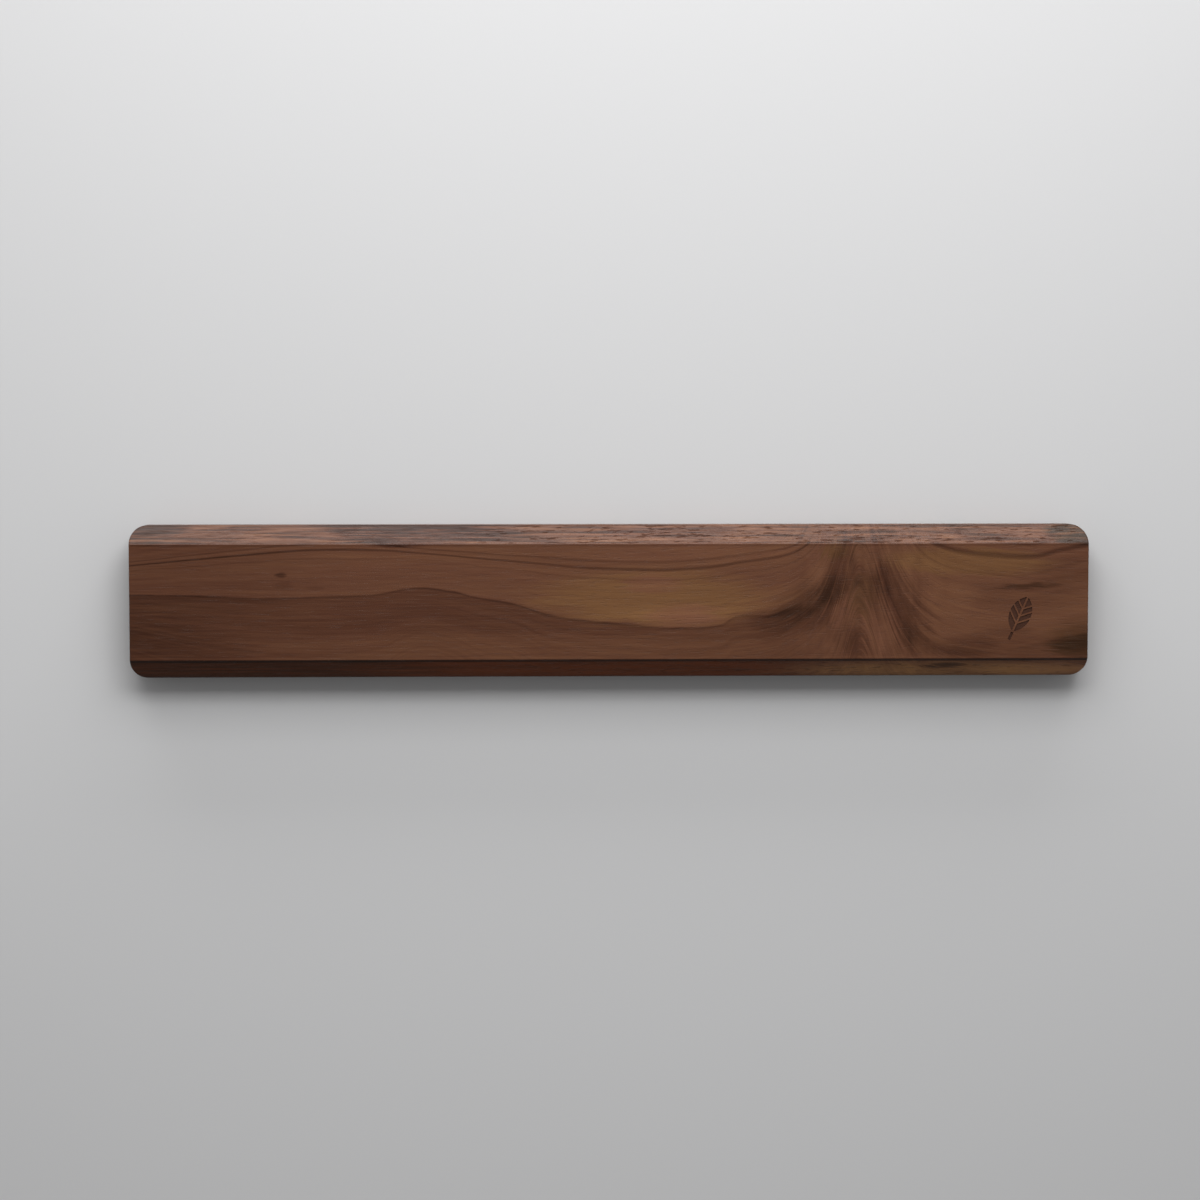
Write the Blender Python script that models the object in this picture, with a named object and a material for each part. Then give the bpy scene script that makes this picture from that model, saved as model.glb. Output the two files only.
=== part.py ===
"""Walnut wrist rest for a keyboard: one solid board that stands on six rubber feet.

Units are metres and +Z is up. X runs along the board, +Y points to the side that meets the
keyboard, and the origin is on the desk under the middle of the board.
"""

import math

import bmesh
import bpy
from mathutils import Matrix, Vector

# Board
LENGTH = 0.440
DEPTH = 0.070
TOP_Z = 0.020
UNDERSIDE_Z = 0.002
PLAN_CORNER_RADIUS = 0.0075
CHAMFER_RUN = 0.0085
CHAMFER_DROP = 0.007
ARRIS_RADIUS = 0.0005
UNDERSIDE_EDGE_RADIUS = 0.0010
PLAN_CORNER_STEPS = 8
ARRIS_STEPS = 3

# Feet: each sits in a round pocket on a disc of foam tape
FOOT_DIAMETER = 0.0100
FOOT_HEIGHT = 0.0026
FOOT_RIM_RADIUS = 0.0005
TAPE_DIAMETER = 0.0090
TAPE_THICKNESS = 0.0006
POCKET_DIAMETER = 0.0110
CLEARANCE = 0.0003
FOOT_END_INSET = 0.022
FOOT_EDGE_INSET = 0.013
ROUND_STEPS = 32
RIM_STEPS = 3

# Leaf cut into the palm face near the right end
LEAF_CENTRE = Vector((0.1885, -0.0062))
LEAF_LENGTH = 0.0170
LEAF_WIDTH = 0.0092
LEAF_LEAN = math.radians(-24)
MIDRIB_WIDTH = 0.0009
VEIN_WIDTH = 0.0007
VEIN_TURN = math.radians(48)
VEIN_STARTS = (-0.0042, -0.0006, 0.0030)
STEM_GAP = 0.0006
STEM_LENGTH = 0.0038
STEM_WIDTH = 0.0013
ENGRAVING_DEPTH = 0.0004
LEAF_CELL_STEPS = 4

# How far a cutter runs past the wood, so that no two faces coincide
OVERCUT = 0.005

# Faces that meet at more than this angle keep a sharp edge
SHARP_ANGLE = math.radians(30)

FOOT_X = LENGTH / 2 - FOOT_END_INSET
FOOT_Y = DEPTH / 2 - FOOT_EDGE_INSET
FOOT_COLUMNS = {"left": -FOOT_X, "mid": 0.0, "right": FOOT_X}
FOOT_ROWS = {"front": -FOOT_Y, "rear": FOOT_Y}


def clear_scene():
    """Remove every object, so that the model starts from an empty scene."""
    for obj in list(bpy.data.objects):
        bpy.data.objects.remove(obj)


def make_material(name, colour, roughness):
    """A plain Principled material: linear colour and roughness, never metallic."""
    material = bpy.data.materials.new(name)
    material.use_nodes = True
    shader = material.node_tree.nodes["Principled BSDF"]
    shader.inputs["Base Color"].default_value = (*colour, 1.0)
    shader.inputs["Roughness"].default_value = roughness
    shader.inputs["Metallic"].default_value = 0.0
    return material


def add_object(name, bm, material=None):
    """Put a finished bmesh into the scene, with its faces pointing out."""
    bmesh.ops.recalc_face_normals(bm, faces=bm.faces)
    mesh = bpy.data.meshes.new(name)
    bm.to_mesh(mesh)
    bm.free()
    obj = bpy.data.objects.new(name, mesh)
    bpy.context.scene.collection.objects.link(obj)
    if material:
        mesh.materials.append(material)
    return obj


def add_cutter(name, bm):
    """Put a finished bmesh into the scene as a tool that only a Boolean modifier reads."""
    cutter = add_object(name, bm)
    cutter.hide_render = True
    cutter.display_type = "WIRE"
    return cutter


def apply_cutter(obj, cutter, operation):
    """Trim or cut an object with a cutter, through a Boolean modifier."""
    boolean = obj.modifiers.new(cutter.name, "BOOLEAN")
    boolean.operation = operation
    boolean.solver = "EXACT"
    boolean.object = cutter


def shade(obj):
    """Smooth shading that keeps the real edges sharp."""
    obj.data.shade_smooth()
    obj.data.set_sharp_from_angle(angle=SHARP_ANGLE)


def fillet(before, corner, after, radius, steps):
    """Points of the arc that rounds one corner of an outline, from its first side to its second."""
    toward_before = (before - corner).normalized()
    toward_after = (after - corner).normalized()
    half_angle = toward_before.angle(toward_after) / 2
    centre = corner + (toward_before + toward_after).normalized() * (radius / math.sin(half_angle))
    start = corner + toward_before * (radius / math.tan(half_angle)) - centre
    sweep = start.angle_signed(corner + toward_after * (radius / math.tan(half_angle)) - centre)
    return [centre + Matrix.Rotation(-sweep * i / steps, 2) @ start for i in range(steps + 1)]


def rounded_outline(corners, radii, steps):
    """An outline through the corners, each rounded by its own radius."""
    points = []
    for i, corner in enumerate(corners):
        before = corners[i - 1]
        after = corners[(i + 1) % len(corners)]
        points.extend(fillet(before, corner, after, radii[i], steps))
    return points


def rectangle(left, right, bottom, top):
    """The four corners of a rectangle, anticlockwise."""
    return [Vector((left, bottom)), Vector((right, bottom)), Vector((right, top)), Vector((left, top))]


def extrude_outline(bm, points, travel):
    """A prism: the outline's face and its copy moved along travel, joined by side faces."""
    base = bm.faces.new([bm.verts.new(point) for point in points])
    swept = bmesh.ops.extrude_face_region(bm, geom=[base], use_keep_orig=True)
    moved = [item for item in swept["geom"] if isinstance(item, bmesh.types.BMVert)]
    bmesh.ops.translate(bm, verts=moved, vec=travel)


def board_section():
    """The board's cross-section in Y and Z: a flat palm face and a chamfer on each long edge."""
    front = -DEPTH / 2
    rear = DEPTH / 2
    corners = [
        Vector((front, UNDERSIDE_Z)),
        Vector((rear, UNDERSIDE_Z)),
        Vector((rear, TOP_Z - CHAMFER_DROP)),
        Vector((rear - CHAMFER_RUN, TOP_Z)),
        Vector((front + CHAMFER_RUN, TOP_Z)),
        Vector((front, TOP_Z - CHAMFER_DROP)),
    ]
    radii = [UNDERSIDE_EDGE_RADIUS] * 2 + [ARRIS_RADIUS] * 4
    return rounded_outline(corners, radii, ARRIS_STEPS)


def plan_outline():
    """The board seen from above: a rectangle with rounded corners."""
    half_x = LENGTH / 2
    half_y = DEPTH / 2
    corners = rectangle(-half_x, half_x, -half_y, half_y)
    return rounded_outline(corners, [PLAN_CORNER_RADIUS] * 4, PLAN_CORNER_STEPS)


def leaf_cell_outline(side, low_vein, high_vein):
    """One cell of a half leaf: the arc of its edge between two side veins, closed at the midrib.

    A vein is given by where it leaves the midrib. It is None past the base or the tip.
    """
    half_length = LEAF_LENGTH / 2
    bulge = LEAF_WIDTH / 2
    radius = (half_length**2 + bulge**2) / (2 * bulge)
    shift = bulge - radius + MIDRIB_WIDTH / 2
    half_sweep = math.asin(half_length / radius)

    def edge_angle(start):
        reach = start * math.sin(VEIN_TURN) + (shift - MIDRIB_WIDTH / 2) * math.cos(VEIN_TURN)
        return math.acos(-reach / radius) - VEIN_TURN

    margin = VEIN_WIDTH / 2 / math.sin(VEIN_TURN)
    low_angle = -half_sweep
    high_angle = half_sweep
    inner = []
    if high_vein is not None:
        high_angle = edge_angle(high_vein - margin)
        inner.append(Vector((side * MIDRIB_WIDTH / 2, high_vein - margin)))
    if low_vein is not None:
        low_angle = edge_angle(low_vein + margin)
        inner.append(Vector((side * MIDRIB_WIDTH / 2, low_vein + margin)))
    steps = [i / LEAF_CELL_STEPS for i in range(LEAF_CELL_STEPS + 1)]
    angles = [low_angle + (high_angle - low_angle) * step for step in steps]
    arc = [Vector((side * (shift + radius * math.cos(a)), radius * math.sin(a))) for a in angles]
    return arc + inner


def stem_outline():
    """The short stem, a little below the leaf."""
    top = -LEAF_LENGTH / 2 - STEM_GAP
    return rectangle(-STEM_WIDTH / 2, STEM_WIDTH / 2, top - STEM_LENGTH, top)


def leaf_cutter():
    """Prisms standing in the palm face: the cells of the two half leaves, and a stem."""
    veins = [None, *VEIN_STARTS, None]
    outlines = [stem_outline()]
    for side in (-1, 1):
        outlines += [leaf_cell_outline(side, low, high) for low, high in zip(veins, veins[1:])]
    bm = bmesh.new()
    lean = Matrix.Rotation(LEAF_LEAN, 2)
    for outline in outlines:
        placed = [LEAF_CENTRE + lean @ point for point in outline]
        floor = [Vector((p.x, p.y, TOP_Z - ENGRAVING_DEPTH)) for p in placed]
        extrude_outline(bm, floor, Vector((0, 0, ENGRAVING_DEPTH + OVERCUT)))
    return add_cutter("leaf_cutter", bm)


def disc(bm, x, y, bottom, top, diameter):
    """A round slab with flat ends."""
    place = Matrix.Translation((x, y, (bottom + top) / 2))
    bmesh.ops.create_cone(bm, cap_ends=True, segments=ROUND_STEPS, radius1=diameter / 2,
                          radius2=diameter / 2, depth=top - bottom, matrix=place)


def pocket_cutter(floor_z):
    """The six round pockets that are routed up into the underside."""
    bm = bmesh.new()
    for y in FOOT_ROWS.values():
        for x in FOOT_COLUMNS.values():
            disc(bm, x, y, UNDERSIDE_Z - OVERCUT, floor_z, POCKET_DIAMETER)
    return add_cutter("pocket_cutter", bm)


def walnut_bar(walnut, pocket_floor_z):
    """The board: its section run along X, trimmed to the plan, then pocketed and engraved."""
    bm = bmesh.new()
    start_x = -LENGTH / 2 - OVERCUT
    section = [Vector((start_x, p.x, p.y)) for p in board_section()]
    extrude_outline(bm, section, Vector((-2 * start_x, 0, 0)))
    bar = add_object("walnut_bar", bm, walnut)

    bm = bmesh.new()
    base_z = UNDERSIDE_Z - OVERCUT
    outline = [Vector((p.x, p.y, base_z)) for p in plan_outline()]
    extrude_outline(bm, outline, Vector((0, 0, TOP_Z + OVERCUT - base_z)))
    apply_cutter(bar, add_cutter("plan_trim", bm), "INTERSECT")
    apply_cutter(bar, pocket_cutter(pocket_floor_z), "DIFFERENCE")
    apply_cutter(bar, leaf_cutter(), "DIFFERENCE")
    shade(bar)


def rubber_foot(name, x, y, rubber):
    """A round bumper whose lower rim is rounded over."""
    bm = bmesh.new()
    disc(bm, x, y, 0.0, FOOT_HEIGHT, FOOT_DIAMETER)
    rim = [e for e in bm.edges if all(v.co.z < FOOT_HEIGHT / 2 for v in e.verts)]
    bmesh.ops.bevel(bm, geom=rim, offset=FOOT_RIM_RADIUS, offset_type="OFFSET", segments=RIM_STEPS,
                    profile=0.5, affect="EDGES")
    shade(add_object(name, bm, rubber))


def foam_tape(name, x, y, foam):
    """A disc of double-sided foam tape between a foot and the floor of its pocket."""
    bm = bmesh.new()
    bottom = FOOT_HEIGHT + CLEARANCE
    disc(bm, x, y, bottom, bottom + TAPE_THICKNESS, TAPE_DIAMETER)
    shade(add_object(name, bm, foam))


def build():
    clear_scene()
    walnut = make_material("oiled_walnut", (0.106, 0.046, 0.025), 0.42)
    rubber = make_material("black_rubber", (0.020, 0.020, 0.021), 0.70)
    foam = make_material("foam_tape", (0.62, 0.61, 0.57), 0.85)

    walnut_bar(walnut, FOOT_HEIGHT + CLEARANCE + TAPE_THICKNESS + CLEARANCE)
    for row, y in FOOT_ROWS.items():
        for column, x in FOOT_COLUMNS.items():
            rubber_foot(f"foot_{row}_{column}", x, y, rubber)
            foam_tape(f"foot_tape_{row}_{column}", x, y, foam)


build()
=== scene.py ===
"""Looks of a solid walnut wrist rest: the board, its rubber feet and the tape that holds them."""

import math

import bmesh
import bpy
import numpy as np
from mathutils import Matrix, Vector


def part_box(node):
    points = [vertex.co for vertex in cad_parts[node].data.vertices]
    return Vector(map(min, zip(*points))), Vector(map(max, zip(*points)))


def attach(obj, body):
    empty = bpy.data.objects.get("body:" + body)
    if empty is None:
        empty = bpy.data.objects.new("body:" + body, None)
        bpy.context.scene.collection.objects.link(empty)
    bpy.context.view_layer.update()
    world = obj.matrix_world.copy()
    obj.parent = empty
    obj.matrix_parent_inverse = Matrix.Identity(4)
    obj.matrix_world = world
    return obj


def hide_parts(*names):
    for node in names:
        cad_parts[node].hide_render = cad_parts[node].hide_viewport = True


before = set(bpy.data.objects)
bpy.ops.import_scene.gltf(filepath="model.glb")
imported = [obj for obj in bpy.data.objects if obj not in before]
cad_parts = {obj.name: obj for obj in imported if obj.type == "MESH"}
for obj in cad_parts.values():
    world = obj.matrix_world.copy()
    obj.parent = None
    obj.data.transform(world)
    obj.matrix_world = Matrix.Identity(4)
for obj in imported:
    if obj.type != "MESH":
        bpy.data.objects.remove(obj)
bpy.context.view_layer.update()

MM = 0.001

# ---------------------------------------------------------------------------------------------
# Sizes of the board, in metres. Its overall size comes from the frame.
# ---------------------------------------------------------------------------------------------
BAR_LOW, BAR_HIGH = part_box("walnut_bar")
HALF_LENGTH = BAR_HIGH.x
HALF_DEPTH = BAR_HIGH.y
TOP_Z = BAR_HIGH.z
UNDERSIDE_Z = BAR_LOW.z
CORNER_RADIUS = 7.5 * MM
CHAMFER_RUN = 8.5 * MM
CHAMFER_DROP = 7.0 * MM
ARRIS_RADIUS = 0.5 * MM
TOP_EDGE_EASING = 0.45 * MM
UNDERSIDE_EDGE_EASING = 0.9 * MM
ARRIS_Y = HALF_DEPTH - CHAMFER_RUN
CHAMFER_ANGLE = math.atan2(CHAMFER_DROP, CHAMFER_RUN)

# Leaf mark near the right end
LEAF_X = 188.5 * MM
LEAF_Y = -6.2 * MM
LEAF_LENGTH = 17.0 * MM
LEAF_WIDTH = 9.2 * MM
LEAF_LEAN = math.radians(-24)
MIDRIB_WIDTH = 0.9 * MM
VEIN_WIDTH = 0.7 * MM
VEIN_TURN = math.radians(48)
VEIN_STARTS = np.array([-4.2, -0.6, 3.0]) * MM
STEM_GAP = 0.6 * MM
STEM_LENGTH = 3.8 * MM
STEM_WIDTH = 1.3 * MM
ENGRAVING_DEPTH = 0.4 * MM

POCKET_RADIUS = 5.5 * MM
OVERCUT = 3.0 * MM

# Feet and tape
FOOT_RIM = 0.55 * MM
FOOT_SHOULDER = 0.2 * MM
DISH_DEPTH = 0.18 * MM
DISH_RADIUS = 3.0 * MM
DISH_LIP_RADIUS = 3.4 * MM
FOAM_DRAWN_IN = 0.12 * MM

# How finely the surfaces are divided
BOARD_COLUMNS = 45
CORNER_STEPS = 15
EDGE_STEPS = 6
ARRIS_STEPS = 6
LEAF_ARC_STEPS = 13
ROUND_STEPS = 48
RIM_STEPS = 7
DISH_STEPS = 6
FLANK_STEPS = 9
# Places of the rows between a rounded edge and the two grids, from 0 at the edge to 1
FLAT_PLACES = np.array([0.2, 0.4, 0.6, 0.8, 1.0])
# Y of the rows on the palm face, and how close the last one comes to an arris
PALM_ROWS = np.array([4.0, 12.0, 20.0]) * MM
ARRIS_MARGIN = 0.3 * MM

SHARP_ANGLE = math.radians(35)
WELD_DISTANCE = 1e-6
SAME_POINT = 1e-7


# ---------------------------------------------------------------------------------------------
# Mesh helpers
# ---------------------------------------------------------------------------------------------
def mesh_object(name, points, quads):
    """An object from an array of points and an array of faces, its doubles merged, facing out."""
    mesh = bpy.data.meshes.new(name)
    mesh.from_pydata(points.reshape(-1, 3).tolist(), [], quads.tolist())
    bm = bmesh.new()
    bm.from_mesh(mesh)
    bmesh.ops.remove_doubles(bm, verts=bm.verts, dist=WELD_DISTANCE)
    bmesh.ops.recalc_face_normals(bm, faces=bm.faces)
    bm.to_mesh(mesh)
    bm.free()
    obj = bpy.data.objects.new(name, mesh)
    bpy.context.scene.collection.objects.link(obj)
    return obj


def grid_faces(rows, columns, start=0, close_columns=False):
    """Quads of a rows by columns grid of points numbered row by row from start."""
    index = start + np.arange(rows * columns).reshape(rows, columns)
    if close_columns:
        index = np.hstack([index, index[:, :1]])
    corners = (index[:-1, :-1], index[:-1, 1:], index[1:, 1:], index[1:, :-1])
    return np.stack(corners, axis=-1).reshape(-1, 4)


def cut_away(obj, cutter):
    """Subtract the cutter from the object for good, then remove the cutter."""
    boolean = obj.modifiers.new("cut", "BOOLEAN")
    boolean.operation = "DIFFERENCE"
    boolean.solver = "EXACT"
    boolean.object = cutter
    graph = bpy.context.evaluated_depsgraph_get()
    cut_mesh = bpy.data.meshes.new_from_object(obj.evaluated_get(graph))
    obj.modifiers.clear()
    obj.data = cut_mesh
    bpy.data.objects.remove(cutter)


def finish_shading(obj):
    """Smooth shading with real edges kept sharp, and normals that follow the large flat faces."""
    obj.data.shade_smooth()
    obj.data.set_sharp_from_angle(angle=SHARP_ANGLE)
    weighted = obj.modifiers.new("flat_faces_lead", "WEIGHTED_NORMAL")
    weighted.keep_sharp = True
    weighted.weight = 100


# ---------------------------------------------------------------------------------------------
# The board
# ---------------------------------------------------------------------------------------------
def board_height(y):
    """Height of the worked top at y: flat, an arc of ARRIS_RADIUS over each arris, then the chamfer.

    With t = r tan(a / 2) the arc leaves the flat at ARRIS_Y - t and has turned by the chamfer's
    angle a at ARRIS_Y - t + r sin(a), where the sloping plane takes over.
    """
    across = np.abs(y)
    start = ARRIS_Y - ARRIS_RADIUS * math.tan(CHAMFER_ANGLE / 2)
    end = start + ARRIS_RADIUS * math.sin(CHAMFER_ANGLE)
    over = np.clip(across - start, 0.0, end - start)
    arc = TOP_Z - ARRIS_RADIUS + np.sqrt(ARRIS_RADIUS**2 - over**2)
    slope = TOP_Z - (across - ARRIS_Y) * math.tan(CHAMFER_ANGLE)
    return np.where(across < end, arc, slope)


def arris_rows():
    """Y of the lines that run along the board: close together over each arris, wide elsewhere."""
    start = ARRIS_Y - ARRIS_RADIUS * math.tan(CHAMFER_ANGLE / 2)
    turns = np.linspace(0.0, CHAMFER_ANGLE, ARRIS_STEPS)
    arc = start + ARRIS_RADIUS * np.sin(turns)
    half = np.concatenate([PALM_ROWS, [start - ARRIS_MARGIN], arc])
    return np.concatenate([-half[::-1], half])


def plan_loop(inset, columns, rows, turns):
    """Points (x, y) once round the board's plan, moved inwards by inset.

    The straight sides keep the given columns and rows. Each corner is an arc about the same centre,
    with radius CORNER_RADIUS - inset.
    """
    centre_x = HALF_LENGTH - CORNER_RADIUS
    centre_y = HALF_DEPTH - CORNER_RADIUS
    radius = CORNER_RADIUS - inset
    reach_x = HALF_LENGTH - inset
    reach_y = HALF_DEPTH - inset
    front = np.stack([columns, np.full_like(columns, -reach_y)], axis=1)
    right = np.stack([np.full_like(rows, reach_x), rows], axis=1)
    rear = np.stack([columns[::-1], np.full_like(columns, reach_y)], axis=1)
    left = np.stack([np.full_like(rows, -reach_x), rows[::-1]], axis=1)
    loop = []
    sides = ((front, 1, -1, -90), (right, 1, 1, 0), (rear, -1, 1, 90), (left, -1, -1, 180))
    for side, sign_x, sign_y, start in sides:
        angle = math.radians(start) + turns
        arc = np.stack([np.cos(angle), np.sin(angle)], axis=1) * radius
        loop += [side, arc + np.array([sign_x * centre_x, sign_y * centre_y])]
    return np.concatenate(loop)


def eased_edge(edge):
    """Insets and drops of the rings over one rounded edge, and on over the flat to the grids.

    The edge is a quarter circle of radius e: inset e (1 - cos t), drop e (1 - sin t).
    """
    turn = np.linspace(0.0, math.pi / 2, EDGE_STEPS)
    insets = np.concatenate([edge * (1 - np.cos(turn)), edge + FLAT_PLACES * (CORNER_RADIUS - edge)])
    drops = np.concatenate([edge * (1 - np.sin(turn)), np.zeros_like(FLAT_PLACES)])
    return insets, drops


def walnut_blank():
    """The board before it is pocketed and engraved: rings round its plan, closed by two grids.

    Ring by ring from the underside to the palm face, a point lies at an inset d from the plan's
    outline. Its height is the underside plane's plus the eased edge's drop below, and board_height
    less that drop above. The grid below is flat, and the one above follows board_height.
    """
    inner_x = HALF_LENGTH - CORNER_RADIUS
    inner_y = HALF_DEPTH - CORNER_RADIUS
    columns = np.linspace(-inner_x, inner_x, BOARD_COLUMNS)
    rows = np.concatenate([[-inner_y], arris_rows(), [inner_y]])
    turns = np.linspace(0.0, math.pi / 2, CORNER_STEPS)[1:-1]
    rings = []
    low_insets, low_drops = eased_edge(UNDERSIDE_EDGE_EASING)
    for inset, drop in zip(low_insets[::-1], low_drops[::-1]):
        loop = plan_loop(inset, columns, rows, turns)
        rings.append(np.column_stack([loop, np.full(len(loop), UNDERSIDE_Z + drop)]))
    for inset, drop in zip(*eased_edge(TOP_EDGE_EASING)):
        loop = plan_loop(inset, columns, rows, turns)
        rings.append(np.column_stack([loop, board_height(loop[:, 1]) - drop]))
    shell = np.stack(rings)
    shell_faces = grid_faces(shell.shape[0], shell.shape[1], close_columns=True)

    grid_y, grid_x = np.meshgrid(rows, columns, indexing="ij")
    palm = np.stack([grid_x, grid_y, board_height(grid_y)], axis=-1)
    underside = np.stack([grid_x, grid_y, np.full_like(grid_x, UNDERSIDE_Z)], axis=-1)
    first_palm = shell.shape[0] * shell.shape[1]
    first_under = first_palm + palm.shape[0] * palm.shape[1]
    faces = [
        shell_faces,
        grid_faces(*palm.shape[:2], start=first_palm),
        grid_faces(*underside.shape[:2], start=first_under)[:, ::-1],
    ]
    points = [part.reshape(-1, 3) for part in (shell, palm, underside)]
    return mesh_object("walnut_board", np.concatenate(points), np.concatenate(faces))


def prism(outline, low, high):
    """Points and faces of an upright prism: the outline at two heights and a cap on each."""
    count = len(outline)
    bottom = np.column_stack([outline, np.full(count, low)])
    top = np.column_stack([outline, np.full(count, high)])
    ring = np.arange(count)
    following = np.roll(ring, -1)
    sides = np.stack([ring, following, following + count, ring + count], axis=1).tolist()
    return np.concatenate([bottom, top]), sides + [ring[::-1].tolist(), (ring + count).tolist()]


def prisms_object(name, outlines, low, high):
    """Several upright prisms in one cutter."""
    points = []
    faces = []
    for outline in outlines:
        more_points, more_faces = prism(outline, low, high)
        faces += [[index + sum(map(len, points)) for index in face] for face in more_faces]
        points.append(more_points)
    mesh = bpy.data.meshes.new(name)
    mesh.from_pydata(np.concatenate(points).tolist(), [], faces)
    obj = bpy.data.objects.new(name, mesh)
    bpy.context.scene.collection.objects.link(obj)
    return obj


def leaf_outlines():
    """The cells of two half leaves, parted by a midrib and side veins, and a stem.

    A half leaf's edge is an arc whose radius r follows from its half chord c and bulge b as
    (c^2 + b^2) / 2b. A vein that leaves the midrib at v, turned from it by t, meets that arc at the
    angle acos(-(v sin t + (s - m / 2) cos t) / r) - t, with s the arc's centre and m the midrib's width.
    """
    half_length = LEAF_LENGTH / 2
    bulge = LEAF_WIDTH / 2
    radius = (half_length**2 + bulge**2) / (2 * bulge)
    shift = bulge - radius + MIDRIB_WIDTH / 2
    half_sweep = math.asin(half_length / radius)
    margin = VEIN_WIDTH / 2 / math.sin(VEIN_TURN)
    starts = np.concatenate([VEIN_STARTS + margin, VEIN_STARTS - margin])
    reach = starts * math.sin(VEIN_TURN) + (shift - MIDRIB_WIDTH / 2) * math.cos(VEIN_TURN)
    past, before = np.split(np.arccos(-reach / radius) - VEIN_TURN, 2)
    lows = np.concatenate([[-half_sweep], past])
    highs = np.concatenate([before, [half_sweep]])
    inner_lows = np.concatenate([[-half_length], VEIN_STARTS + margin])
    inner_highs = np.concatenate([VEIN_STARTS - margin, [half_length]])
    shapes = []
    for low, high, inner_low, inner_high in zip(lows, highs, inner_lows, inner_highs):
        angle = np.linspace(low, high, LEAF_ARC_STEPS)
        out = np.concatenate([shift + radius * np.cos(angle), [MIDRIB_WIDTH / 2] * 2])
        along = np.concatenate([radius * np.sin(angle), [inner_high, inner_low]])
        cell = np.column_stack([out, along])
        doubled = np.linalg.norm(cell - np.roll(cell, 1, axis=0), axis=1) < SAME_POINT
        cell = cell[~doubled]
        shapes += [cell, cell[::-1] * np.array([-1, 1])]
    stem_top = -half_length - STEM_GAP
    stem_x = STEM_WIDTH / 2 * np.array([-1, 1, 1, -1])
    stem_y = stem_top - STEM_LENGTH * np.array([1, 1, 0, 0])
    shapes.append(np.column_stack([stem_x, stem_y]))
    cosine, sine = math.cos(LEAF_LEAN), math.sin(LEAF_LEAN)
    turn = np.array([[cosine, sine], [-sine, cosine]])
    return [shape @ turn + np.array([LEAF_X, LEAF_Y]) for shape in shapes]


def walnut_board(material):
    """The finished board: blank, foot pockets and leaf mark."""
    board = walnut_blank()
    angle = np.linspace(0, 2 * math.pi, ROUND_STEPS, endpoint=False)
    circle = np.column_stack([np.cos(angle), np.sin(angle)]) * POCKET_RADIUS
    pockets = []
    for node in foot_nodes():
        foot_low, foot_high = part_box(node)
        pockets.append(circle + np.array(plan_centre(foot_low, foot_high)))
    tape_low, tape_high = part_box("foot_tape_front_mid")
    pocket_floor = tape_high.z + (tape_low.z - foot_high.z)
    cut_away(board, prisms_object("pocket_bits", pockets, UNDERSIDE_Z - OVERCUT, pocket_floor))
    leaf = prisms_object("leaf_bit", leaf_outlines(), TOP_Z - ENGRAVING_DEPTH, TOP_Z + OVERCUT)
    cut_away(board, leaf)
    board.data.materials.clear()
    board.data.materials.append(material)
    finish_shading(board)
    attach(board, "root")
    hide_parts("walnut_bar")
    return board


# ---------------------------------------------------------------------------------------------
# Feet and tape
# ---------------------------------------------------------------------------------------------
def foot_nodes():
    """Names of the CAD nodes of the feet."""
    return [name for name in sorted(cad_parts) if name.startswith("foot_") and "tape" not in name]


def tape_nodes():
    """Names of the CAD nodes of the tape."""
    return [name for name in sorted(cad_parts) if name.startswith("foot_tape_")]


def plan_centre(low, high):
    """The middle of a box, seen from above."""
    return (low.x + high.x) / 2, (low.y + high.y) / 2


def turned(name, radii, heights, centre):
    """A profile (radius, height) turned about the upright line through centre, closed at its poles."""
    angle = np.linspace(0, 2 * math.pi, ROUND_STEPS, endpoint=False)
    x = centre[0] + radii[:, None] * np.cos(angle)
    y = centre[1] + radii[:, None] * np.sin(angle)
    z = np.broadcast_to(heights[:, None], x.shape)
    points = np.stack([x, y, z], axis=-1)
    return mesh_object(name, points, grid_faces(len(radii), ROUND_STEPS, close_columns=True))


def settle(piece, material, node):
    """Give a small piece its finish, and let it stand for its node."""
    piece.data.materials.append(material)
    finish_shading(piece)
    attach(piece, "root")
    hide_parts(node)


def rubber_foot(node, material):
    """A moulded bumper: shallow dish below, rounded rim, straight flank, small radius on top.

    Outwards from the middle, the dish's height is a quarter cosine, the rim is a quarter circle that
    turns up to the flank, and the shoulder is a smaller one that turns in to the flat top.
    """
    low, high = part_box(node)
    radius = (high.x - low.x) / 2
    height = high.z - low.z
    quarter = np.linspace(0, math.pi / 2, RIM_STEPS)
    dish_r = np.linspace(0, DISH_RADIUS, DISH_STEPS)
    dish_z = DISH_DEPTH * np.cos(dish_r / DISH_RADIUS * math.pi / 2)
    rim_r = radius - FOOT_RIM + FOOT_RIM * np.sin(quarter)
    rim_z = FOOT_RIM - FOOT_RIM * np.cos(quarter)
    top_r = radius - FOOT_SHOULDER + FOOT_SHOULDER * np.cos(quarter)
    top_z = height - FOOT_SHOULDER + FOOT_SHOULDER * np.sin(quarter)
    radii = np.concatenate([dish_r, [DISH_LIP_RADIUS], rim_r, top_r, [0.0]])
    heights = low.z + np.concatenate([dish_z, [0.0], rim_z, top_z, [height]])
    foot = turned("rubber_" + node, radii, heights, plan_centre(low, high))
    settle(foot, material, node)


def foam_disc(node, material):
    """Foam tape: two thin skins with the foam between them drawn in by half a sine wave."""
    low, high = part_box(node)
    radius = (high.x - low.x) / 2
    up = np.linspace(0, 1, FLANK_STEPS)
    flank = radius - FOAM_DRAWN_IN * np.sin(up * math.pi)
    radii = np.concatenate([[0.0], flank, [0.0]])
    heights = np.concatenate([[low.z], low.z + up * (high.z - low.z), [high.z]])
    disc = turned("disc_" + node, radii, heights, plan_centre(low, high))
    settle(disc, material, node)


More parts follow.
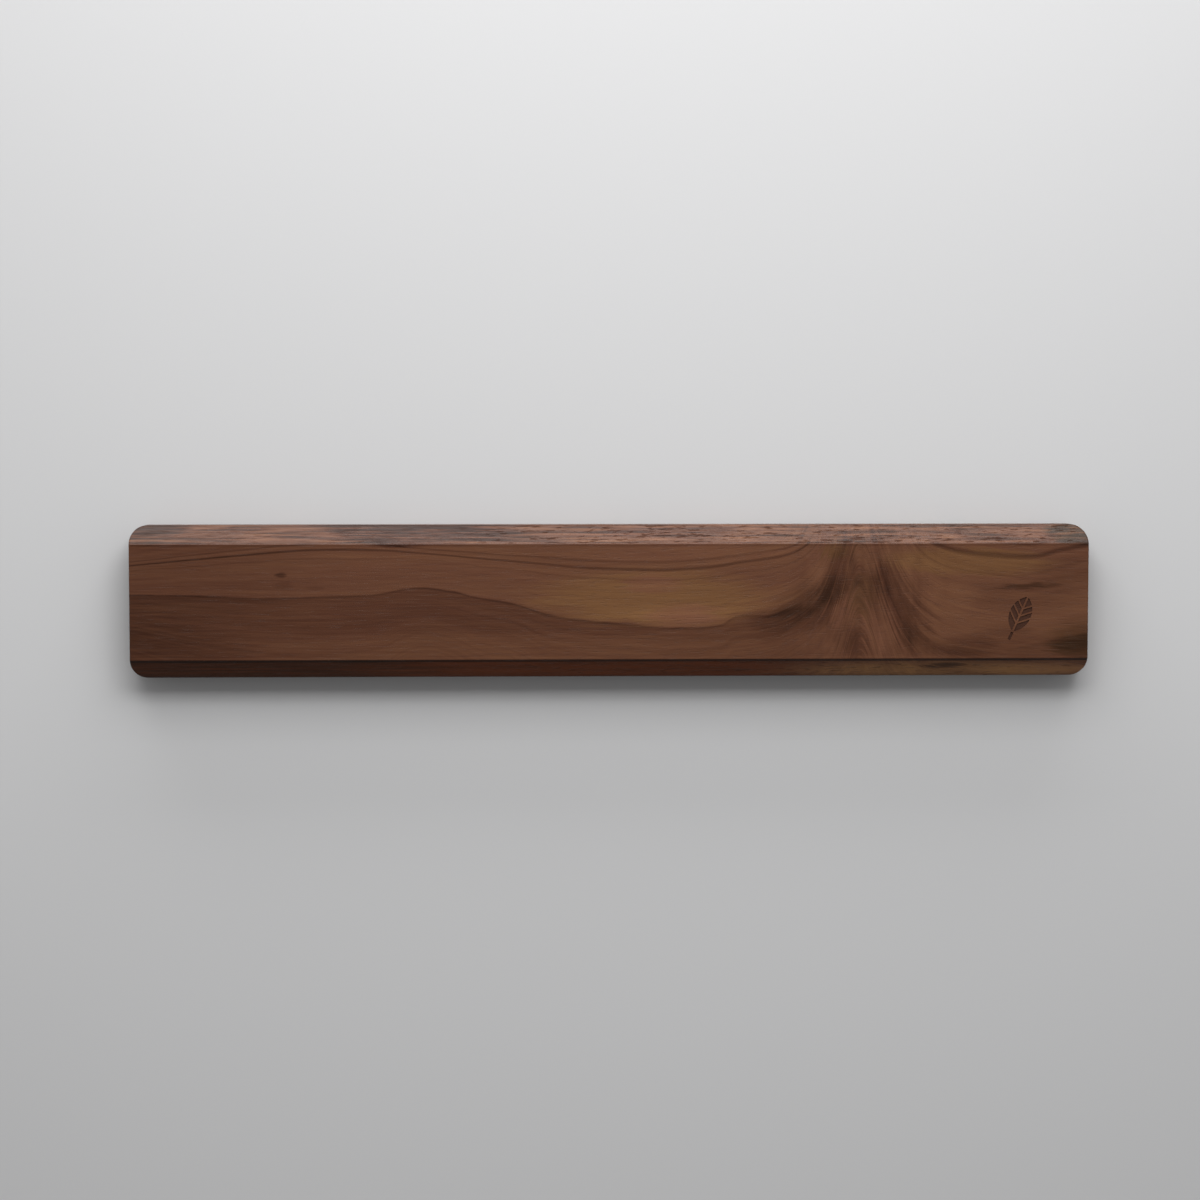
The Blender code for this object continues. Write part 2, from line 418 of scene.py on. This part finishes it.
# ---------------------------------------------------------------------------------------------
# Node arithmetic: a Wire is one output in a material, and the operators add Math nodes
# ---------------------------------------------------------------------------------------------
class Wire:
    """One output of a material's node. Python's operators on it add the nodes that work them out."""

    def __init__(self, tree, socket):
        self.tree = tree
        self.socket = socket

    def math(self, operation, *others, clamp=False):
        node = self.tree.nodes.new("ShaderNodeMath")
        node.operation = operation
        node.use_clamp = clamp
        for slot, value in enumerate((self,) + others):
            feed(self.tree, node.inputs[slot], value)
        return Wire(self.tree, node.outputs[0])

    def __add__(self, other):
        return self.math("ADD", other)

    def __sub__(self, other):
        return self.math("SUBTRACT", other)

    def __mul__(self, other):
        return self.math("MULTIPLY", other)

    def __truediv__(self, other):
        return self.math("DIVIDE", other)

    def __neg__(self):
        return self.math("MULTIPLY", -1.0)

    def __rsub__(self, other):
        return (-self) + other

    __radd__ = __add__
    __rmul__ = __mul__

    def power(self, exponent):
        return self.math("POWER", exponent)

    def root(self):
        return self.math("SQRT")

    def size(self):
        return self.math("ABSOLUTE")

    def clamped(self):
        return self.math("ADD", 0.0, clamp=True)

    def ramp(self, low, high):
        """0 below low, 1 above high, eased between; high may be the smaller one."""
        node = self.tree.nodes.new("ShaderNodeMapRange")
        node.interpolation_type = "SMOOTHSTEP"
        feed(self.tree, node.inputs["Value"], self)
        node.inputs["From Min"].default_value = low
        node.inputs["From Max"].default_value = high
        return Wire(self.tree, node.outputs[0])

    def hill(self, centre, width):
        """1 at centre, falling to 0 one width away on either side."""
        return (self - centre).size().ramp(width, 0.0)

    def curve(self, points, low, high):
        """A smooth curve through given (x, y) points; y runs from low to high."""
        start, end = points[0][0], points[-1][0]
        node = self.tree.nodes.new("ShaderNodeFloatCurve")
        feed(self.tree, node.inputs["Value"], ((self - start) / (end - start)).clamped())
        line = node.mapping.curves[0].points
        while len(line) < len(points):
            line.new(0.5, 0.5)
        for dot, (x, y) in zip(line, points):
            dot.location = ((x - start) / (end - start), (y - low) / (high - low))
        node.mapping.update()
        return Wire(self.tree, node.outputs[0]) * (high - low) + low


def feed(tree, socket, value):
    """Link a wire to a socket, or set the socket to a plain number."""
    if isinstance(value, Wire):
        tree.links.new(value.socket, socket)
    else:
        socket.default_value = value


def joined(tree, x, y, z):
    """Three wires or numbers as one vector."""
    node = tree.nodes.new("ShaderNodeCombineXYZ")
    for slot, value in enumerate((x, y, z)):
        feed(tree, node.inputs[slot], value)
    return Wire(tree, node.outputs[0])


def noise(tree, vector, scale=1.0, detail=2.0, roughness=0.5):
    """Noise about 0.5, on a vector that already carries its own stretch."""
    node = tree.nodes.new("ShaderNodeTexNoise")
    feed(tree, node.inputs["Vector"], vector)
    node.inputs["Scale"].default_value = scale
    node.inputs["Detail"].default_value = detail
    node.inputs["Roughness"].default_value = roughness
    return Wire(tree, node.outputs["Fac"])


def blend_colour(tree, amount, first, second):
    """From the first colour at 0 to the second at 1."""
    node = tree.nodes.new("ShaderNodeMix")
    node.data_type = "RGBA"
    feed(tree, node.inputs["Factor"], amount)
    feed(tree, node.inputs[6], first)
    feed(tree, node.inputs[7], second)
    return Wire(tree, node.outputs[2])


def colour_ramp(tree, amount, stops):
    """A colour read off linear stops (place, colour) at an amount from 0 to 1."""
    node = tree.nodes.new("ShaderNodeValToRGB")
    feed(tree, node.inputs[0], amount)
    elements = node.color_ramp.elements
    while len(elements) < len(stops):
        elements.new(0.5)
    for element, (place, colour) in zip(elements, stops):
        element.position = place
        element.color = colour
    return Wire(tree, node.outputs[0])


def linear(*shown):
    """A linear colour, with its alpha, from the usual 0 to 255 display values."""
    value = np.array(shown) / 255
    return (*np.where(value <= 0.04045, value / 12.92, ((value + 0.055) / 1.055) ** 2.4).tolist(), 1.0)


def new_material(name):
    material = bpy.data.materials.new(name)
    material.use_nodes = True
    tree = material.node_tree
    return material, tree, tree.nodes["Principled BSDF"]


def object_axes(tree):
    """Object coordinates as three wires, in millimetres."""
    place = tree.nodes.new("ShaderNodeTexCoord")
    split = tree.nodes.new("ShaderNodeSeparateXYZ")
    tree.links.new(place.outputs["Object"], split.inputs[0])
    return [Wire(tree, split.outputs[axis]) * (1 / MM) for axis in range(3)]


def add_bump(tree, shader, height, distance, strength):
    """Bump from a height wire, whose 1 stands distance metres high."""
    node = tree.nodes.new("ShaderNodeBump")
    feed(tree, node.inputs["Height"], height)
    node.inputs["Distance"].default_value = distance
    node.inputs["Strength"].default_value = strength
    tree.links.new(node.outputs[0], shader.inputs["Normal"])


# ---------------------------------------------------------------------------------------------
# Walnut: a solid block of figured wood that every face is cut from. All lengths in millimetres.
# ---------------------------------------------------------------------------------------------
PALM_Z = TOP_Z / MM
ARRIS = ARRIS_Y / MM
SIDE = HALF_DEPTH / MM
# Where the tree's heart lay, below and in front of the board
HEART_Y = -95.0
HEART_Z = -75.0
# The flame: all growth lines are lifted to the rear round this place
FLAME_X = 114.0
FLAME_HEIGHT = 75.0
FLAME_LEFT = 11.0
FLAME_RIGHT = 15.0
FLAME_HEART_X = FLAME_X + 6.0
FLAME_REACH = 50.0
# How far growth lines wander, and how far feathering moves a broad change along and across
WANDER = 2.5
FEATHER_ALONG = 30.0
FEATHER_ACROSS = 7.0
# The two growth lines that lead the figure, as they would run without the flame: (x, y)
REAR_LINE = [(-220, 16.6), (-180, 20.6), (-142, 23.2), (-110, 23.5), (-82, 21.7), (-22, 16.2),
             (10, 14.4), (42, 14.0), (65, 15.4), (90, 13.0), (120, 13.0), (150, 14.7),
             (175, 16.7), (193, 17.9), (207, 21.6), (220, 24.3)]
FRONT_LINE = [(-220, 4.1), (-110, 3.8), (-88, 6.2), (-75, 4.8), (-60, 1.3), (-45, -1.2), (-27, -6.6),
              (0, -10.2), (50, -12.2), (58, -8.9), (66, -9.3), (74, -10.8), (84, -9.4), (92, -10.0),
              (101, -13.7), (124, -22.0), (136, -23.2), (147, -30.0), (161, -28.3), (180, -26.0),
              (203, -20.0), (220, -16.0)]
LINE_LIMIT = 40.0
# Broad changes of the wood: (x, y, half length, half width, lean of the long side in x per y,
# change of tone, change towards gold)
PATCHES = [
    # darker left end and corner, warm stripe near the front arris
    (-235, 14, 120, 40, 0.0, -0.12, 0.0),
    (-222, -22, 70, 16, 0.0, -0.12, 0.0),
    (-50, -21, 150, 9, 0.0, 0.12, 0.1),
    (60, -21, 80, 9, 0.0, 0.02, 0.0),
    # golden field in the middle, with two warmer spots, and a light strip behind it
    (18, 2, 70, 15, 0.0, 0.16, 1.0),
    (30, -7, 45, 6, 0.0, 0.10, 0.3),
    (19, 8, 18, 6, 0.0, 0.02, -0.9),
    (33, -6, 24, 6, 0.0, 0.03, -1.1),
    (40, 22, 70, 6, 0.0, 0.06, -0.1),
    # the flame: dark left shoulder and leg, columns, light core, dark right leg and foot
    (92, 1, 18, 12, 0.9, -0.19, 0.15),
    (80, -8, 24, 9, 0.0, -0.14, 0.0),
    (103, 9, 9, 24, 0.4, -0.15, 0.0),
    (106, -5, 5, 11, 0.3, 0.12, -0.2),
    (117, 21, 9, 12, 0.0, 0.12, 0.0),
    (114, 2, 6, 15, 0.0, -0.10, 0.5),
    (113, -20, 7, 12, 0.0, -0.18, 0.0),
    (125, -13, 9, 19, -0.1, 0.14, -0.1),
    (132.5, 0, 13, 26, -0.5, -0.24, 0.0),
    (142, -18, 12, 9, -0.5, -0.06, 0.1),
    (164, -21, 19, 7, 0.0, -0.20, 0.0),
    # right end: golden strips, warm spot, duller field round the leaf
    (103, 23, 8, 5, 0.0, -0.06, 0.8),
    (164, 18, 48, 8, -1.0, 0.10, 1.1),
    (157, 1, 13, 11, 0.0, 0.06, 0.1),
    (190, 2, 34, 10, 0.0, -0.10, 0.0),
    (184, -17, 22, 8, 0.0, -0.14, 0.0),
    (212, 12, 24, 10, 0.0, -0.12, 0.0),
    # darker rear chamfer, left of the middle and at its left end
    (-86, 31, 56, 6.5, 0.0, -0.42, -0.3),
    (-214, 31, 26, 6.5, 0.0, -0.26, 0.0),
    # dark streak above the leaf, and the two dark corners at the right
    (192, 6.8, 16, 2.0, 0.0, -0.24, 0.2),
    (219, -18, 24, 12, 0.0, -0.28, 0.4),
    (224, 31, 26, 7, 0.0, -0.42, 1.0),
    # front chamfer: golden to the right, with one dark blotch
    (150, -40, 100, 14, 0.0, 0.44, 0.8),
    (205, -40, 45, 14, 0.0, 0.30, 0.0),
    (154, -34, 10, 4, 0.0, -0.60, 0.4),
]
# Pin knots and specks: (x, y, half length, half width, strength)
KNOTS = [(-151, 12.6, 3.4, 1.7, 1.0), (-150, 7.6, 6.0, 2.4, 0.25), (-135, 6.4, 6.0, 1.4, 0.28),
         (-38, -33.0, 2.2, 1.6, 1.0)]

# Colours of the wood by tone, from dark to light
RED_BROWN = [(50, 25, 13), (81, 48, 33), (102, 65, 47), (121, 80, 58), (143, 98, 73)]
GOLDEN = [(48, 30, 12), (82, 53, 32), (103, 69, 43), (123, 86, 54), (144, 103, 64)]
HEARTWOOD = [(0.042, 0.011, 0.002, 1.0), (0.116, 0.026, 0.005, 1.0)]
ARRIS_SHADOW = linear(14, 6, 3)
PORE_BROWN = linear(52, 27, 14)
END_BROWN = linear(54, 34, 24)
SCORCHED = linear(52, 26, 14)

SATIN_IOR = 1.32
PORE_DEPTH = 0.12 * MM
# The scorched floor of the mark: how far below the palm face it starts and is full
SCORCH_START = 0.12
SCORCH_FULL = 0.20


def patch(x, y, centre_x, centre_y, half_length, half_width, lean=0.0):
    """1 in the middle of an ellipse, eased down to 0 at its rim; lean slides it in x as y grows."""
    up = y - centre_y
    along = (x - centre_x - up * lean) * (1 / half_length)
    across = up * (1 / half_width)
    return (along * along + across * across).ramp(1.0, 0.0)


def growth(tree, x, y, z):
    """Growth lines of the block: the age of the wood as a y on the palm face, and the same with the
    flame taken out, and the layer, which is +1 along REAR_LINE and -1 along FRONT_LINE.

    The age is the distance from the heart, sqrt((y - hy)^2 + (z - hz)^2), read back at the palm face.
    The flame is a bell, height / (1 + (offset / width)^2), with its own width on either side.
    """
    across = y - HEART_Y
    up = z - HEART_Z
    reach = (across * across + up * up - (PALM_Z - HEART_Z) ** 2).math("MAXIMUM", 0.0).root()
    age = reach + HEART_Y
    wander = noise(tree, joined(tree, x / 60.0, age / 18.0, z / 40.0)) - 0.5
    offset = x - FLAME_X
    width = offset.math("GREATER_THAN", 0.0) * (FLAME_RIGHT - FLAME_LEFT) + FLAME_LEFT
    slope = offset / width
    flame = (slope * slope + 1.0).power(-1.0) * FLAME_HEIGHT
    line = age - flame + wander * WANDER
    rear_line = x.curve(REAR_LINE, -LINE_LIMIT, LINE_LIMIT)
    front_line = x.curve(FRONT_LINE, -LINE_LIMIT, LINE_LIMIT)
    layer = (line - (rear_line + front_line) * 0.5) / ((rear_line - front_line) * 0.5)
    return age, line, layer


def flame_clouds(tree, x, z, age, layer_edge, in_flame):
    """Tone of the flame: soft clouds, upright flecks, and a darker foot in front of the front line."""
    clouds = noise(tree, joined(tree, x / 9.0, age / 13.0, z / 10.0), detail=3.0, roughness=0.6) - 0.5
    upright = noise(tree, joined(tree, x / 4.0, age / 26.0, z / 12.0)) - 0.5
    foot = layer_edge.ramp(-0.6, -1.9) * in_flame
    return clouds * in_flame * 0.38 + upright * x.hill(FLAME_HEART_X, FLAME_REACH) * 0.35 - foot * 0.072


def growth_lines(age, layer, x, fine, feather):
    """Depth of the thin dark lines: the front line, the rear line, one behind it and one before it."""
    front_line = (layer + 1.05).size().ramp(0.09, 0.0) * x.ramp(100.0, 60.0)
    rear_line = (layer - 1.0).size().ramp(0.09, 0.01) * age.ramp(28.5, 26.2)
    rear_line = rear_line * (fine * 1.2 + 0.8).clamped()
    behind = (layer - 1.28 + feather * 0.1).size().ramp(0.07, 0.01)
    before = (layer - 0.62 + feather * 0.2).size().ramp(0.06, 0.0)
    return front_line * 0.10 + rear_line * 0.38 + behind * 0.16 + before * 0.08


def pin_knots(x, age, fine, feather):
    """Darkness of the pin knots and specks, with ragged rims."""
    dark = 0.0
    for centre_x, centre_y, half_length, half_width, strength in KNOTS:
        knot = patch(x + feather * 6.0, age + fine * 3.0, centre_x, centre_y, half_length, half_width)
        dark = knot * strength + dark
    return dark


def wood_colour(tree, tone, shades):
    """A colour by tone from evenly spaced shades."""
    places = np.linspace(0.0, 1.0, len(shades)).tolist()
    return colour_ramp(tree, tone, [(place, linear(*shade)) for place, shade in zip(places, shades)])


def pores(tree, x, y, z, sloping):
    """Pores: fine hollows that run with the grain, crowded in places and faint near the left end."""
    slant = y - x / 24.0
    crowd = noise(tree, joined(tree, x / 30.0, slant * 0.3, z * 0.3), detail=1.0) - 0.5
    coarse = x.ramp(-90.0, -30.0) * 0.75 + 0.25
    field = noise(tree, joined(tree, x / 5.5, slant * 1.15, z * 1.15), detail=1.0) + crowd * 0.25
    return field.ramp(0.57, 0.70) * coarse * sloping


def facing_ends(tree):
    """1 where the surface faces along the board, 0 on the long faces."""
    surface = tree.nodes.new("ShaderNodeNewGeometry")
    facing = tree.nodes.new("ShaderNodeSeparateXYZ")
    tree.links.new(surface.outputs["Normal"], facing.inputs[0])
    return Wire(tree, facing.outputs[0]).size().ramp(0.35, 0.95)


def walnut_material():
    """Oiled walnut: streaked and figured wood, red in front, with pores, dry ends and a scorched mark."""
    material, tree, shader = new_material("oiled_walnut")
    x, y, z = object_axes(tree)
    age, line, layer = growth(tree, x, y, z)
    rear_chamfer = y.ramp(ARRIS - 0.2, ARRIS + 0.7)
    in_flame = x.ramp(76.0, 98.0) * x.ramp(162.0, 138.0)

    # Streaks of every size, all drawn out along the growth lines, and a comb of them behind
    broad = noise(tree, joined(tree, x / 150.0, layer * 0.9, z / 60.0)) - 0.5
    bands = noise(tree, joined(tree, x / 200.0, layer * 4.5, 3.0), detail=3.0, roughness=0.6) - 0.5
    fine = noise(tree, joined(tree, x / 45.0, line * 0.8, z * 0.1), detail=3.0, roughness=0.65) - 0.5
    fibre = noise(tree, joined(tree, x / 12.0, line * 3.0, z * 2.5), detail=3.0, roughness=0.7) - 0.5
    comb = noise(tree, joined(tree, x / 34.0, y * 0.8, z * 0.8), roughness=0.6) - 0.5
    tone = 0.46 + broad * 0.18 + bands * 0.26 + fine * (in_flame * -0.17 + 0.30) + fibre * 0.22
    tone = tone + comb * rear_chamfer * 1.9 - rear_chamfer * 0.07
    gold = broad * 0.6 + fine * 0.8 + 0.15

    # Broad changes, with feathered rims
    feather = noise(tree, joined(tree, x / 22.0, line * 0.35, z * 0.2), detail=3.0, roughness=0.6) - 0.5
    soft_x = x + feather * FEATHER_ALONG
    soft_y = age + feather * FEATHER_ACROSS
    for *place, lighter, golder in PATCHES:
        here = patch(soft_x, soft_y, *place)
        tone = tone + here * lighter
        gold = gold + here * golder

    # The wood darkens in a step at the front line, softly where the flame crosses it
    layer_edge = layer + feather * 0.25
    tone = tone - layer_edge.ramp(-0.96, -1.06) * (in_flame * -0.85 + 1.0) * 0.18
    tone = tone + flame_clouds(tree, x, z, age, layer_edge, in_flame)
    tone = tone - growth_lines(age, layer, x, fine, feather)
    tone = tone - pin_knots(x, age, fine, feather) * 0.30

    # Painted shade and painted highlight along the arrises of the palm face: a fine painted dark line
    # behind, a painted light line in front
    tone = tone - (y - ARRIS + 0.7).size().ramp(0.8, 0.2) * 0.10
    tone = tone + (y + ARRIS - 0.8).size().ramp(0.7, 0.2) * 0.06
    tone = tone.clamped()
    colour = blend_colour(tree, gold.clamped(), wood_colour(tree, tone, RED_BROWN),
                          wood_colour(tree, tone, GOLDEN))

    # The front chamfer shows redder heartwood, except at its right end, between two painted shadow lines
    # along its edges
    front_red = age.ramp(-26.8, -28.2) * age.ramp(-60.0, -48.0) * soft_x.ramp(108.0, 52.0)
    depth = x.ramp(-130.0, -60.0) * 0.75 + tone * 0.4 + comb * 2.0 + 0.02
    red = colour_ramp(tree, depth, list(zip((0.0, 1.0), HEARTWOOD)))
    colour = blend_colour(tree, front_red * 0.85, colour, red)
    # Painted shadow: a dark line just below the front arris, and darkening towards the chamfer's lower
    # edge
    front_edge_shadow_lines = (y + ARRIS + 0.6).size().ramp(0.8, 0.3) * (fine * 0.8 + 0.85)
    front_edge_shadow_lines = front_edge_shadow_lines + y.ramp(1.8 - SIDE, -SIDE) * 0.4
    colour = blend_colour(tree, (front_edge_shadow_lines * 0.85).clamped(), colour, ARRIS_SHADOW)

    # Pores are open on the chamfers, and nearly filled on the polished palm face
    sloping = (rear_chamfer * 0.8 + y.ramp(-ARRIS - 0.3, -ARRIS - 1.5) * 0.4 + 0.2).clamped()
    hairs = noise(tree, joined(tree, x / 11.0, line * 3.6, z * 3.6), detail=1.0).ramp(0.60, 0.76)
    hollow = (pores(tree, x, y, z, sloping) + hairs * 0.25).clamped()
    colour = blend_colour(tree, hollow * 0.60, colour, PORE_BROWN)

    # Ends of the board drink more oil, and the mark is scorched
    end_grain = facing_ends(tree)
    colour = blend_colour(tree, end_grain * 0.45, colour, END_BROWN)
    beside_x = (x - LEAF_X / MM).size().ramp(14.0, 13.0)
    beside_y = (y - LEAF_Y / MM).size().ramp(16.0, 15.0)
    in_mark = z.ramp(PALM_Z - SCORCH_START, PALM_Z - SCORCH_FULL) * beside_x * beside_y
    colour = blend_colour(tree, in_mark * 0.75, colour, SCORCHED)

    tree.links.new(colour.socket, shader.inputs["Base Color"])
    rubbed = noise(tree, joined(tree, x / 16.0, y * 1.1, z * 1.1), roughness=0.6) - 0.5
    rough = 0.37 + rubbed * 0.30 + hollow * 0.40 + end_grain * 0.12 + in_mark * 0.2
    tree.links.new(rough.socket, shader.inputs["Roughness"])
    shader.inputs["IOR"].default_value = SATIN_IOR
    add_bump(tree, shader, fibre * 0.12 + rubbed * 0.25 - hollow, PORE_DEPTH, 1.0)
    return material


def rubber_material():
    """Black moulded rubber: fine grain, with dusty scuffs."""
    material, tree, shader = new_material("bumper_rubber")
    x, y, z = object_axes(tree)
    grain = noise(tree, joined(tree, x, y, z), scale=5.0, detail=3.0, roughness=0.6)
    dust = noise(tree, joined(tree, x, y, z), scale=0.7, detail=4.0, roughness=0.7)
    scuff = dust.ramp(0.50, 0.72)
    colour = blend_colour(tree, scuff * 0.35, (0.017, 0.017, 0.018, 1.0), (0.060, 0.058, 0.055, 1.0))
    tree.links.new(colour.socket, shader.inputs["Base Color"])
    tree.links.new((0.62 + grain * 0.18 + scuff * 0.10).socket, shader.inputs["Roughness"])
    add_bump(tree, shader, grain, 0.03 * MM, 0.6)
    return material


def foam_material():
    """Pale foam tape: small round cells."""
    material, tree, shader = new_material("foam_tape_grey")
    x, y, z = object_axes(tree)
    cells = tree.nodes.new("ShaderNodeTexVoronoi")
    feed(tree, cells.inputs["Vector"], joined(tree, x, y, z))
    cells.inputs["Scale"].default_value = 5.0
    cell = Wire(tree, cells.outputs["Distance"])
    colour = blend_colour(tree, cell.ramp(0.2, 0.7), (0.50, 0.49, 0.45, 1.0), (0.68, 0.67, 0.63, 1.0))
    tree.links.new(colour.socket, shader.inputs["Base Color"])
    tree.links.new((0.75 + cell * 0.15).socket, shader.inputs["Roughness"])
    add_bump(tree, shader, cell, 0.05 * MM, 0.7)
    return material


def floor_material():
    """Plain pale matt floor."""
    material, tree, shader = new_material("pale_floor")
    shader.inputs["Base Color"].default_value = (0.62, 0.62, 0.625, 1.0)
    shader.inputs["Roughness"].default_value = 0.9
    shader.inputs["Specular IOR Level"].default_value = 0.2
    return material


# ---------------------------------------------------------------------------------------------
# Floor, light and camera
# ---------------------------------------------------------------------------------------------
FLOOR_REACH = 6.0
# Brightness of the room round the board, by direction
SKY_REAR = 0.60
SKY_SIDE = 0.52
SKY_FRONT = 0.03
SKY_TOP = 0.14
# Soft lights that face the board. Degrees from the rear towards the right, degrees above the
# floor, then distance, width and height in metres, then watts.
SOFT_LIGHTS = {
    "high_window": (6.0, 55.0, 0.90, 0.60, 0.26, 2.8),
    "window": (1.0, 38.0, 1.05, 1.20, 0.40, 5.2),
    "low_window": (-3.0, 12.0, 1.20, 1.60, 0.24, 9.5),
}
CAMERA_PLACE = Vector((-51.2, 84.5, 1314.8)) * MM
CAMERA_AIM = Vector((-5.3, 0.8, 20.0)) * MM
CAMERA_LENS = 85.0
SENSOR_WIDTH = 36.0
CLIP_END = 50.0


def pale_floor():
    """One square of floor, at z = 0."""
    reach = np.array([-FLOOR_REACH, FLOOR_REACH])
    grid_y, grid_x = np.meshgrid(reach, reach, indexing="ij")
    points = np.stack([grid_x, grid_y, np.zeros_like(grid_x)], axis=-1)
    mesh = bpy.data.meshes.new("floor")
    mesh.from_pydata(points.reshape(-1, 3).tolist(), [], grid_faces(2, 2).tolist())
    floor = bpy.data.objects.new("floor", mesh)
    bpy.context.scene.collection.objects.link(floor)
    mesh.materials.append(floor_material())


def room_light():
    """A plain grey room: dim overhead and in front, brighter low down to the rear and the sides."""
    world = bpy.data.worlds.new("room")
    world.use_nodes = True
    tree = world.node_tree
    place = tree.nodes.new("ShaderNodeTexCoord")
    split = tree.nodes.new("ShaderNodeSeparateXYZ")
    tree.links.new(place.outputs["Generated"], split.inputs[0])
    side, rear, height = [Wire(tree, split.outputs[axis]) for axis in range(3)]
    around = side.size() * SKY_SIDE + rear.math("MAXIMUM", 0.0) * SKY_REAR \
        + (-rear).math("MAXIMUM", 0.0) * SKY_FRONT
    overhead = height.ramp(0.70, 0.95)
    background = tree.nodes["Background"]
    background.inputs["Color"].default_value = (1.0, 1.0, 1.0, 1.0)
    tree.links.new((around + overhead * (SKY_TOP - around)).socket, background.inputs["Strength"])
    bpy.context.scene.world = world


def soft_lights():
    """Rectangular lights, each turned to face the board."""
    for name, (turn, rise, distance, width, height, watts) in SOFT_LIGHTS.items():
        turn = math.radians(turn)
        rise = math.radians(rise)
        toward = Vector((math.sin(turn) * math.cos(rise), math.cos(turn) * math.cos(rise), math.sin(rise)))
        light = bpy.data.lights.new(name, "AREA")
        light.shape = "RECTANGLE"
        light.size = width
        light.size_y = height
        light.energy = watts
        lamp = bpy.data.objects.new(name, light)
        bpy.context.scene.collection.objects.link(lamp)
        lamp.location = toward * distance
        lamp.rotation_euler = (-toward).to_track_quat("-Z", "Y").to_euler()


def camera():
    """The camera above the board, its sideways axis square to the board's depth."""
    data = bpy.data.cameras.new("camera")
    data.lens = CAMERA_LENS
    data.sensor_width = SENSOR_WIDTH
    data.clip_end = CLIP_END
    eye = bpy.data.objects.new("camera", data)
    bpy.context.scene.collection.objects.link(eye)
    forward = (CAMERA_AIM - CAMERA_PLACE).normalized()
    right = forward.cross(Vector((0, 1, 0))).normalized()
    up = right.cross(forward)
    turn = Matrix((right, up, -forward)).transposed().to_4x4()
    eye.matrix_world = Matrix.Translation(CAMERA_PLACE) @ turn
    bpy.context.scene.camera = eye


camera()
pale_floor()
room_light()
soft_lights()
bpy.context.scene.view_settings.view_transform = "Standard"

walnut_board(walnut_material())
rubber = rubber_material()
for foot_node in foot_nodes():
    rubber_foot(foot_node, rubber)
foam = foam_material()
for tape_node in tape_nodes():
    foam_disc(tape_node, foam)
